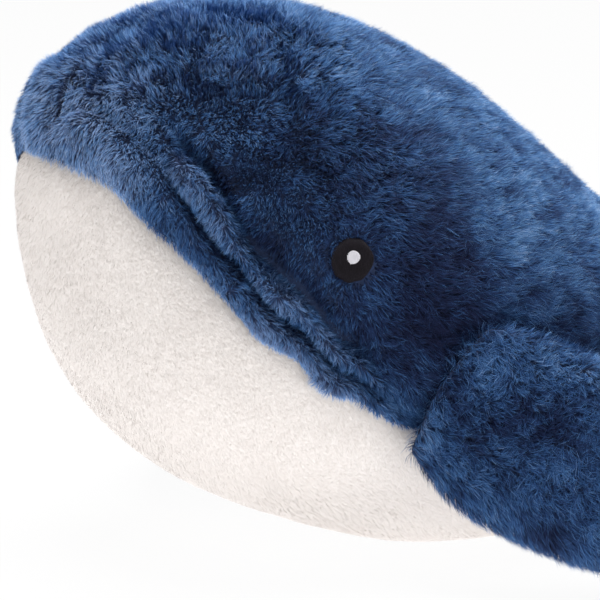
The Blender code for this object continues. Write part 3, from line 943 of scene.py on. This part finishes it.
def back_zones(surface, side):
    """The parts of the face and back that the pile treats apart, each as a weight from 0 to 1."""
    share, above, points = surface["share"], surface["above"], surface["points"]
    crease, edge, lower, upper = straight_columns(LIP_STATIONS, share)
    rolls = np.maximum(lower, upper) * ease(*LIP_TO_BACK, share)
    fringe = ease(7, 1, above) * ease(*FRINGE_START, share)
    rearward = ease(*FACE_TO_BACK, share)
    high_roll = ease(crease, crease + 3, above)
    return SimpleNamespace(
        rearward=rearward,
        face=1 - rearward,
        middle_line=bell(points[..., 0] / MIDDLE_LINE_SPAN),
        low_roll=ease(crease, crease - 2, above),
        high_roll=high_roll,
        on_roll=ease(edge + 1.2, edge - 0.6, above) * rolls,
        combed=ease(edge + 8, edge + 2, above) * rolls,
        over_edge=upper * high_roll,
        crown=upper * ease(edge - 5, edge - 1, above),
        foot=upper * ease(edge - 0.5, edge + 0.3, above) * ease(edge + 9, edge + 4, above),
        valley=upper * ease(edge - 0.6, edge + 0.8, above) * ease(edge + 26, edge + 8, above),
        under_edge=bell((above - edge - 3) / 3),
        in_crease=upper * bell((above - crease - 0.4) / 2.2),
        hump=upper * bell((share - 0.058) / 0.020),
        lip_span=ease(*LIP_START, share) * ease(*LIP_END, share),
        fringe=fringe,
        nose=fringe * ease(*NOSE_END, share),
        low_snout=ease(*SNOUT_TO_CHEEK, share),
        low_cheek=ease(*LOW_CHEEK, above),
        high_flank=ease(*HIGH_FLANK, above),
        parting=bell(surface["from_eye"] / PARTING_SPAN),
        # dark: where the face's pile is painted darker as shade
        dark=near_path(points, side, SHADED_FACE_PATH_MM, SHADED_FACE_CORE, SHADED_FACE_FALLOFF),
        shaded_flank=near_path(points, side, SHADED_FLANK_PATH_MM, SHADED_FLANK_CORE, SHADED_FLANK_FALLOFF),
    )


def back_lay(surface, side, zone):
    """The way the back's pile lies: towards the tail, down the snout, and round the eye and the lip."""
    points, normal = surface["points"], surface["normals"]
    across = np.array([1.0, 0.0, 0.0])
    lay = blend(np.array(SNOUT_LAY) * mirror_for(side), np.array(TAIL_LAY), zone.rearward[..., None])
    lay = flat_to(lay + (-0.55 * side * zone.middle_line)[..., None] * across, normal)
    lay = lay + 0.55 * (1 - 0.6 * zone.rearward)[..., None] * drift(surface, 30 * MM, salt=21)
    down = np.array(COMBED_LAY) * mirror_for(side) - (0.75 * side * zone.middle_line)[..., None] * across
    to_seam = unit(np.gradient(points, axis=1))
    down = blend(unit(flat_to(down, normal)), to_seam, zone.over_edge[..., None])
    lay = blend(lay, down, zone.combed[..., None])
    along_lip = unit(np.gradient(points, axis=0)) - 0.4 * to_seam
    lay = blend(lay, along_lip, zone.foot[..., None])
    middle, _ = eye_place(side)
    outward = unit(flat_to(points - middle, normal))
    swirl = np.cross(normal, outward) * lumps(points, 3 * MM, salt=61)[..., None]
    return blend(lay, 0.8 * outward + 1.6 * swirl, zone.parting[..., None])


def back_lift(surface, zone):
    """The angle in radians between the back's fibres and the cloth."""
    lift = 0.50 + 0.58 * zone.face * ease(0.0, 0.06, surface["share"])
    lift = blend(lift, 0.55 - 0.20 * zone.on_roll * zone.crown, zone.combed)
    lift = blend(lift, 1.0, zone.foot)
    lift = blend(lift, 0.26, zone.fringe) - 0.14 * zone.nose
    return lift * (1 - 0.55 * zone.parting)


def back_length(surface, side, zone):
    """The length of the back's fibres, which at the seam is what hangs over the white."""
    share, above = surface["share"], surface["above"]
    length = (5.2 - 1.5 * zone.face) * MM * (1 - 0.20 * ease(0.7, 1.0, share))
    length = length * (1 - 0.15 * zone.on_roll) * (1 - 0.40 * zone.parting)
    length = length * (1 + TAIL_PILE_SHARE * ease(*TAIL_END, share))
    length = length * (1 - 0.12 * zone.dark * (1 - zone.on_roll))
    length = length * (1 - 0.50 * zone.in_crease) * (1 - 0.25 * zone.valley)
    length = length * (1 - 0.45 * (1 - surface["fullness"]) * ease(12, 4, above))
    length = length * (1 - 0.12 * zone.low_snout * zone.low_cheek)
    hang = straight_columns(FRINGE_STATIONS, share)[0]
    hang = hang - FAR_FRINGE_CUT * (side < 0) * ease(*FAR_NOSE_END, share)
    hang = hang + FRINGE_RAGGED * lumps(surface["points"], 5 * MM, salt=35) * ease(*LIP_START, share)
    return np.minimum(length, np.maximum((above + hang) / FRINGE_REACH, FRINGE_SHORTEST) * MM)


def back_ruffle(surface, zone):
    """How far the back's tufts and locks differ from each other."""
    ruffle = (0.50 + 0.50 * zone.face) * (1 - 0.45 * zone.low_snout * zone.low_cheek)
    ruffle = ruffle * (1 - 0.22 * zone.on_roll) * (1 - 0.5 * zone.parting) + 0.30 * zone.shaded_flank
    return (ruffle + 0.35 * zone.face * ease(*HIGH_FACE, surface["above"])) * (1 - 0.7 * zone.nose)


def back_tone(surface, zone):
    """Where the back's pile looks deeper or paler: 0 is the deepest blue and 1 the palest. Besides the
    pile's own tone, it holds painted shade and painted highlights.
    """
    share, above, points = surface["share"], surface["above"], surface["points"]
    off_roll = 1 - zone.on_roll
    tone = 0.48 + 0.30 * zone.face * (1 - 0.5 * zone.on_roll)
    # Painted shade: darker in the valley, in the crease and in the hollows between the hills, paler on the
    # hills' tops
    tone = tone - 0.20 * zone.valley - 0.50 * zone.in_crease + 0.14 * surface["hills"]
    # Painted shade over the face's dark zone, and a painted highlight towards the tip of the snout
    tone = tone - 0.30 * zone.dark * off_roll + 0.30 * ease(0.042, 0.0, share)
    # Painted shade over the flank, and a painted highlight along the lip's rolls
    tone = tone - 0.22 * zone.shaded_flank * off_roll + (0.08 + 0.12 * ease(0.05, 0.09, share)) * zone.on_roll
    tone = tone + 0.07 * lumps(points, 18 * MM, salt=31) - 0.08 * zone.parting
    tone = tone - 0.22 * ease(8, 1, above) * ease(0.0, 0.05, share) * (1 - zone.lip_span)
    # Painted light on the lip's lower edge just above the seam, which faces the floor, and painted shade on
    # the lower roll above it
    tone = tone + zone.lip_span * (0.16 * ease(6, 2, above) - 0.10 * ease(6, 9, above) * zone.low_roll)
    # The painted highlight on the lower roll is weaker towards the nose
    tone = tone - 0.15 * zone.on_roll * zone.low_roll * ease(0.12, 0.07, share)
    # A painted highlight on the hump of the upper roll, and a painted shadow just beyond its edge
    tone = tone + zone.hump * (0.08 * zone.on_roll * zone.high_roll - 0.12 * zone.under_edge)
    streaks = lumps(points * np.array([1.0, 0.3, 1.0]), 4 * MM, salt=33)
    return tone - 0.02 * zone.rearward * zone.high_flank + 0.17 * zone.rearward * streaks


def back_pile_fields(surface, side):
    """How the blue pile lies on one side of the back."""
    zone = back_zones(surface, side)
    share = surface["share"]
    frosted = np.maximum(0.14 * zone.rearward * zone.high_flank, 0.08 * ease(0.030, 0.005, share))
    bare = EYE_RADIUS + (0.2 + 0.9 * lumps(surface["points"], 2 * MM, salt=62)) * MM
    surface.update(
        lay=back_lay(surface, side, zone),
        lift=back_lift(surface, zone),
        length=back_length(surface, side, zone),
        ruffle=back_ruffle(surface, zone),
        tone=back_tone(surface, zone),
        frost=PLAIN_FROST + frosted - 0.12 * zone.on_roll * ease(0.012, 0.035, share),
        thinning=np.where(surface["from_eye"] < bare, 0.0, 1.0),
    )


def belly_pile_fields(surface):
    """How the short white pile lies: down and back."""
    points, normal = surface["points"], surface["normals"]
    under = ease(-0.5, -0.95, normal[..., 2])[..., None]
    lay = blend(flat_to(np.array(BELLY_LAY) + 0 * normal, normal), np.array([0.0, 1.0, 0.0]), under)
    ones = np.ones(points.shape[:2])
    surface.update(
        lay=lay + 0.35 * drift(surface, 24 * MM, salt=41),
        lift=0.28 * ones,
        length=(1.5 + 0.2 * lumps(points, 20 * MM, salt=45)) * MM,
        ruffle=0.07 * ones,
        tone=0.5 + 0.10 * lumps(points, 22 * MM, salt=46),
        frost=ones,
        thinning=ones,
    )


def limb_pile_fields(surface, lay, length, lift, tone, ruffle):
    """How the blue pile lies on a fin or on the flukes."""
    ones = np.ones(surface["points"].shape[:2])
    surface.update(
        lay=flat_to(lay, surface["normals"]) + 0.45 * drift(surface, 22 * MM, salt=51),
        lift=lift * ones,
        length=length * ones,
        ruffle=ruffle * ones,
        tone=tone + mixed_lumps(surface["points"], LIMB_PATCHES),
        frost=PLAIN_FROST * ones,
        thinning=ones,
    )


# Materials

def new_material(name):
    made = bpy.data.materials.new(name)
    made.use_nodes = True
    return made, made.node_tree, made.node_tree.nodes["Principled BSDF"]


def set_inputs(node, constants):
    for name, constant in constants.items():
        node.inputs[name].default_value = constant


def ramp(tree, stops, source):
    node = tree.nodes.new("ShaderNodeValToRGB")
    elements = node.color_ramp.elements
    elements[0].position, elements[0].color = stops[0][0], (*stops[0][1], 1)
    elements[1].position, elements[1].color = stops[-1][0], (*stops[-1][1], 1)
    for place, colour in stops[1:-1]:
        elements.new(place).color = (*colour, 1)
    tree.links.new(source, node.inputs["Fac"])
    return node.outputs["Color"]


def multiply(tree, one, other):
    node = tree.nodes.new("ShaderNodeMix")
    node.data_type = "RGBA"
    node.blend_type = "MULTIPLY"
    node.inputs["Factor"].default_value = 1.0
    tree.links.new(one, node.inputs["A"])
    tree.links.new(other, node.inputs["B"])
    return node.outputs["Result"]


def mix_shaders(tree, one, other):
    """A node that shows one shader where its factor is 0 and the other where it is 1."""
    node = tree.nodes.new("ShaderNodeMixShader")
    tree.links.new(one, node.inputs[1])
    tree.links.new(other, node.inputs[2])
    return node


def noise(tree, scale, detail, stretch=None):
    """Noise in the object's own space, which may be stretched."""
    vector = tree.nodes.new("ShaderNodeTexCoord").outputs["Object"]
    if stretch is not None:
        mapping = tree.nodes.new("ShaderNodeMapping")
        mapping.inputs["Scale"].default_value = stretch
        tree.links.new(vector, mapping.inputs["Vector"])
        vector = mapping.outputs["Vector"]
    node = tree.nodes.new("ShaderNodeTexNoise")
    set_inputs(node, {"Scale": scale, "Detail": detail})
    tree.links.new(vector, node.inputs["Vector"])
    return node.outputs["Fac"]


def bump(tree, shader, height, strength, distance):
    node = tree.nodes.new("ShaderNodeBump")
    set_inputs(node, {"Strength": strength, "Distance": distance})
    tree.links.new(height, node.inputs["Height"])
    tree.links.new(node.outputs["Normal"], shader.inputs["Normal"])


def pile_material(name, tones, root_to_tip, roughness, sheen):
    """Fibre colour: the tone runs across the fibres' UV, and from root to tip along it."""
    made, tree, shader = new_material(name)
    place = tree.nodes.new("ShaderNodeUVMap")
    place.uv_map = PILE_UV
    parts = tree.nodes.new("ShaderNodeSeparateXYZ")
    tree.links.new(place.outputs["UV"], parts.inputs["Vector"])
    tone = ramp(tree, tones, parts.outputs["X"])
    # The fade from root to tip darkens the roots as painted shade and pales the tips, partly as painted
    # highlight
    fade = ramp(tree, root_to_tip, parts.outputs["Y"])
    tree.links.new(multiply(tree, tone, fade), shader.inputs["Base Color"])
    set_inputs(shader, {
        "Roughness": roughness,
        "Specular IOR Level": 0.10,
        "Sheen Weight": sheen,
        "Sheen Roughness": 0.4,
    })
    return made


def cloth_material(name, dark, light, scale):
    """The knitted backing under the pile."""
    made, tree, shader = new_material(name)
    grain = noise(tree, scale, detail=4.0)
    tree.links.new(ramp(tree, ((0.30, dark), (0.70, light)), grain), shader.inputs["Base Color"])
    shader.inputs["Roughness"].default_value = 0.9
    bump(tree, shader, grain, strength=0.5, distance=0.0006)
    return made


def thread_material(name, dark, light, gloss):
    """Embroidery thread: fine strands along the stitch, with a soft gloss."""
    made, tree, shader = new_material(name)
    grain = noise(tree, 1.0, detail=2.0, stretch=(6000.0, 6000.0, 500.0))
    tree.links.new(ramp(tree, ((0.35, dark), (0.65, light)), grain), shader.inputs["Base Color"])
    set_inputs(shader, {"Roughness": 0.55, "Specular IOR Level": gloss})
    bump(tree, shader, grain, strength=0.4, distance=0.0001)
    return made


# Colours of the pile by tone, and what they are multiplied by from root to tip. The fades darken the roots
# as painted shade within the pile. The blue fade pales the tips, partly as the fibres' own frosting and
# partly as painted highlight.
BLUE_TONES = (
    (0.00, (0.006, 0.010, 0.042)),
    (0.30, (0.019, 0.046, 0.149)),
    (0.55, (0.047, 0.150, 0.395)),
    (0.80, (0.112, 0.275, 0.588)),
    (1.00, (0.262, 0.433, 0.768)),
)
BLUE_FADE = (
    (0.00, (0.18, 0.13, 0.17)),
    (0.35, (0.43, 0.40, 0.43)),
    (0.70, (0.93, 0.92, 0.91)),
    (1.00, (3.10, 2.00, 1.35)),
)
WHITE_TONES = (
    (0.00, (0.740, 0.693, 0.666)),
    (0.50, (0.770, 0.730, 0.706)),
    (1.00, (0.800, 0.768, 0.748)),
)
WHITE_FADE = (
    (0.00, (0.97, 0.96, 0.955)),
    (1.00, (1.00, 1.00, 1.00)),
)


def make_plush(blue, white):
    """The skins of the body, the fins and the flukes, with the pile that grows on them."""
    rng = np.random.default_rng(PILE_SEED)
    for side, side_name in SIDES:
        surface = back_surface(side)
        back_pile_fields(surface, side)
        panels = [f"{side_name}_back_panel"]
        cover(f"{side_name}_back", surface, BLUE_DENSITY, rng, panels, "body", blue, side < 0)
    surface = belly_surface()
    belly_pile_fields(surface)
    cover("belly", surface, WHITE_DENSITY, rng, ["belly_panel"], "body", white)
    for side, side_name in SIDES:
        surface = fin_surface(side, FIN_PILE_DEPTH)
        name = f"{side_name}_fin"
        front = fin_front(surface["share"], surface["edge"])
        # The fin's upper rim is painted paler, a painted highlight where the light from above falls
        highlit_brow = ease(*FIN_EDGE, surface["edge"])
        rim = ease(*FIN_EDGE, -surface["edge"])
        limb_pile_fields(
            surface,
            lay=surface["along"] + (0.30 * surface["edge"])[..., None] * surface["hinge"],
            length=(4.6 - 0.6 * front + 0.9 * rim) * MM,
            lift=0.50 - 0.16 * rim,
            tone=0.36 + 0.18 * highlit_brow + 0.17 * front,
            ruffle=0.90 - 0.50 * rim,
        )
        panels = [f"{name}_outer_skin", f"{name}_inner_skin"]
        cover(name, surface, LIMB_DENSITY, rng, panels, name, blue, side < 0)
    surface = fluke_surface(FLUKE_PILE_DEPTH)
    across, front = surface["across"], surface["front"]
    lay = np.stack([0.5 * across, 1 + 0 * across, 0 * across], -1)
    length = (5.2 + 1.6 * front) * MM
    limb_pile_fields(surface, lay, length, lift=0.55 + 0.4 * front, tone=0.50, ruffle=0.90)
    panels = ["flukes_upper_skin", "flukes_lower_skin"]
    cover("flukes", surface, LIMB_DENSITY, rng, panels, "flukes", blue, order="across")


def make_filling(fibre):
    """The stuffing under the skins."""
    turn, angle = ring_grid(FILLING_ROWS, FILLING_COLUMNS)
    depth = skin_depth(share_of(turn)) + PIECE_GAP * 2
    points = in_place(body_point(turn, angle) - depth[..., None] * body_normal(turn, angle))
    fillings = [("body", {"points": points}, True, BODY_FILL)]
    for side, side_name in SIDES:
        fillings.append((f"{side_name}_fin", fin_surface(side, FIN_FILLING_DEPTH), side < 0, LIMB_FILL))
    fillings.append(("flukes", fluke_surface(FLUKE_FILLING_DEPTH), False, LIMB_FILL))
    for body, surface, flip, fill in fillings:
        filling = closed_object(f"{body}_filling", surface, flip, fibre)
        dress(filling, [f"{body}_stuffing"], body)


# Eyes

def stitched_patch(name, middle, out, up, radius, rise, threads, made_of, point=0.0):
    """A round patch of parallel threads across a slight dome. Point draws a few of them out to a tip."""
    across = np.cross(up, out)
    pitch = 2 * radius / threads
    points = []
    quads = []
    around = np.linspace(0, math.pi, 7)
    along = np.linspace(-1, 1, 15)
    for k in range(threads):
        centre = -radius + (k + 0.5) * pitch
        half = math.sqrt(max(radius**2 - centre**2, (0.2 * radius) ** 2))
        jitter = 0.025 * radius * math.sin(k * 12.9898)
        first = len(points)
        for t in along:
            height = rise * (1 - 0.55 * abs(t) ** 4) * math.sqrt(max(1 - 0.6 * (centre / radius) ** 2, 0))
            end = math.sqrt(max(1 - abs(t) ** 10, 0.0))
            place = t * (half + jitter)
            if point and t < 0 and abs(centre + 0.50 * radius) < 0.6 * pitch:
                place = place - point * radius * t * t
            for a in around:
                x = centre + 0.62 * pitch * math.cos(a)
                z = height * end * (0.62 + 0.38 * math.sin(a)) - THREAD_TUCK * (math.sin(a) < 0.01)
                points.append(middle + across * x + up * place + out * z)
        quads.append(grid_quads(len(along), len(around), first))
    points = np.array(points)
    flat = points - middle
    uv = np.stack([flat @ across, flat @ up], -1) / (2.4 * radius) + 0.5
    return mesh_object(name, points, np.concatenate(quads)[:, ::-1], made_of, uv)


def make_eyes(black, white):
    for side, side_name in SIDES:
        middle, out = eye_place(side)
        up = unit(flat_to(np.array([0.0, 0.0, 1.0]), out))
        name = f"{side_name}_eye"
        base = middle - out * (EYE_FLOOR_DEPTH - PIECE_GAP)
        patch = stitched_patch(f"{name}_patch", base, out, up, EYE_RADIUS, EYE_RISE, EYE_THREADS, black)
        dress(patch, [f"{name}_embroidery"], "body")
        top = base + out * (EYE_RISE * GLINT_SEAT) + np.array([0, 0, GLINT_RAISE])
        glint = stitched_patch(
            f"{name}_highlight", top, out, up,
            GLINT_RADIUS, GLINT_RISE, GLINT_THREADS, white, GLINT_POINT,
        )
        dress(glint, [f"{name}_glint"], "body")


# Studio

def placed(name, data, place, target):
    """A camera or a light at a place, turned to a target."""
    thing = bpy.data.objects.new(name, data)
    thing.location = place
    thing.rotation_mode = "QUATERNION"
    thing.rotation_quaternion = (Vector(target) - thing.location).to_track_quat("-Z", "Y")
    bpy.context.scene.collection.objects.link(thing)
    return thing


def make_camera():
    azimuth = math.radians(CAMERA_AZIMUTH_DEG)
    elevation = math.radians(CAMERA_ELEVATION_DEG)
    away = Vector((
        math.sin(azimuth) * math.cos(elevation),
        -math.cos(azimuth) * math.cos(elevation),
        math.sin(elevation),
    ))
    aim = Vector(CAMERA_AIM) + Vector((0, CAD_LOW[1], 0))
    data = bpy.data.cameras.new("camera")
    data.lens = CAMERA_LENS_MM
    data.sensor_width = CAMERA_SENSOR_MM
    data.clip_start, data.clip_end = CAMERA_CLIP
    bpy.context.scene.camera = placed("camera", data, aim + away * CAMERA_DISTANCE, aim)


def where_seen(tree):
    """1 for the rays that see the backdrop itself, 0 for those that carry light from it."""
    path = tree.nodes.new("ShaderNodeLightPath")
    total = path.outputs[RAYS_THAT_SEE[0]]
    for kind in RAYS_THAT_SEE[1:]:
        larger = tree.nodes.new("ShaderNodeMath")
        larger.operation = "MAXIMUM"
        tree.links.new(total, larger.inputs[0])
        tree.links.new(path.outputs[kind], larger.inputs[1])
        total = larger.outputs[0]
    return total


def make_world():
    world = bpy.data.worlds.new("studio")
    world.use_nodes = True
    bpy.context.scene.world = world
    tree = world.node_tree
    light = tree.nodes["Background"]
    set_inputs(light, {"Color": WHITE, "Strength": WORLD_LEVEL})
    seen = tree.nodes.new("ShaderNodeBackground")
    set_inputs(seen, {"Color": WHITE, "Strength": 1.0})
    mix = mix_shaders(tree, light.outputs["Background"], seen.outputs["Background"])
    tree.links.new(where_seen(tree), mix.inputs["Fac"])
    tree.links.new(mix.outputs["Shader"], tree.nodes["World Output"].inputs["Surface"])


def make_floor():
    """A pale sweep that glows a little for the toy's underside, and shows the toy's shadow faintly."""
    points = FLOOR_REACH * np.array([(-1, -1, 0), (1, -1, 0), (1, 1, 0), (-1, 1, 0)], float)
    made, tree, shader = new_material("pale_floor")
    set_inputs(shader, {
        "Base Color": FLOOR_GREY,
        "Roughness": 0.9,
        "Emission Color": WHITE,
        "Emission Strength": FLOOR_GLOW,
    })
    plain = tree.nodes.new("ShaderNodeBsdfDiffuse")
    plain.inputs["Color"].default_value = SEEN_FLOOR_GREY
    white = tree.nodes.new("ShaderNodeEmission")
    white.inputs["Strength"].default_value = 1.0
    shown = mix_shaders(tree, plain.outputs["BSDF"], white.outputs["Emission"])
    shown.inputs["Fac"].default_value = FLOOR_WHITE_SHARE
    mix = mix_shaders(tree, shader.outputs["BSDF"], shown.outputs["Shader"])
    tree.links.new(where_seen(tree), mix.inputs["Fac"])
    tree.links.new(mix.outputs["Shader"], tree.nodes["Material Output"].inputs["Surface"])
    mesh_object("studio_floor", points, np.array([(0, 1, 2, 3)]), made)


def make_studio():
    make_camera()
    make_world()
    make_floor()
    for name, place, size, watts in LIGHTS:
        data = bpy.data.lights.new(name, "AREA")
        data.shape = "DISK"
        data.size = size
        data.energy = watts
        placed(name, data, place, LIGHTS_AIM)
    bpy.context.scene.view_settings.view_transform = "Standard"


make_studio()
blue_pile = pile_material("blue_pile", BLUE_TONES, BLUE_FADE, roughness=0.6, sheen=0.02)
white_pile = pile_material("white_pile", WHITE_TONES, WHITE_FADE, roughness=0.7, sheen=0.15)
blue_cloth = cloth_material("blue_backing", (0.008, 0.018, 0.055), (0.016, 0.038, 0.110), 900.0)
white_cloth = cloth_material("white_backing", (0.71, 0.67, 0.645), (0.75, 0.715, 0.695), 700.0)
make_plush(
    SimpleNamespace(slot="blue_plush", cloth=blue_cloth, pile=blue_pile, look=BLUE_LOOK),
    SimpleNamespace(slot="white_plush", cloth=white_cloth, pile=white_pile, look=WHITE_LOOK),
)
make_filling(cloth_material("fibre_filling", (0.74, 0.74, 0.73), (0.86, 0.86, 0.85), 400.0))
make_eyes(
    thread_material("black_satin", (0.006, 0.005, 0.007), (0.014, 0.011, 0.016), gloss=0.15),
    thread_material("white_satin", (0.50, 0.49, 0.53), (0.62, 0.61, 0.65), gloss=0.3),
)
